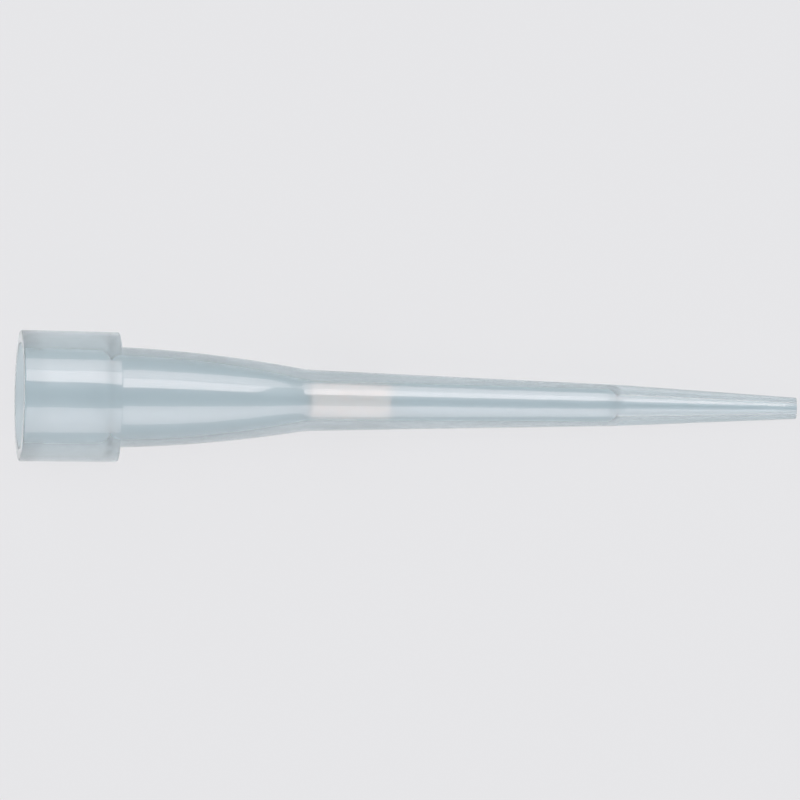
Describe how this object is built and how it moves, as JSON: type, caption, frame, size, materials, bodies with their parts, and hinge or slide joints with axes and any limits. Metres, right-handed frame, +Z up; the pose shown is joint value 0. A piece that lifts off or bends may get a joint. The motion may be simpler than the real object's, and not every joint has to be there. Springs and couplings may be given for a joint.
{
  "type": "pipette tip",
  "caption": "Slim translucent pipette tip with a wide collar, a swept body, a long tapered shaft and a white porous barrier plug in its bore.",
  "frame": {"origin": "on the surface the tip lies on, under the middle of its bounds", "axes": "+Z up; +X towards the point, along the tip's length seen from above; the axis of the tip dips 4.55 degrees below +X, so the mouth faces -X and slightly up"},
  "size_m": [0.0316, 0.0054, 0.0056],
  "materials": {
    "natural_polypropylene": "translucent, unpigmented, smooth satin gloss",
    "porous_polyethylene": "sintered, finely porous, matt"
  },
  "bodies": {
    "root": {"tip_body": "natural_polypropylene", "filter_plug": "porous_polyethylene"}
  },
  "joints": []
}
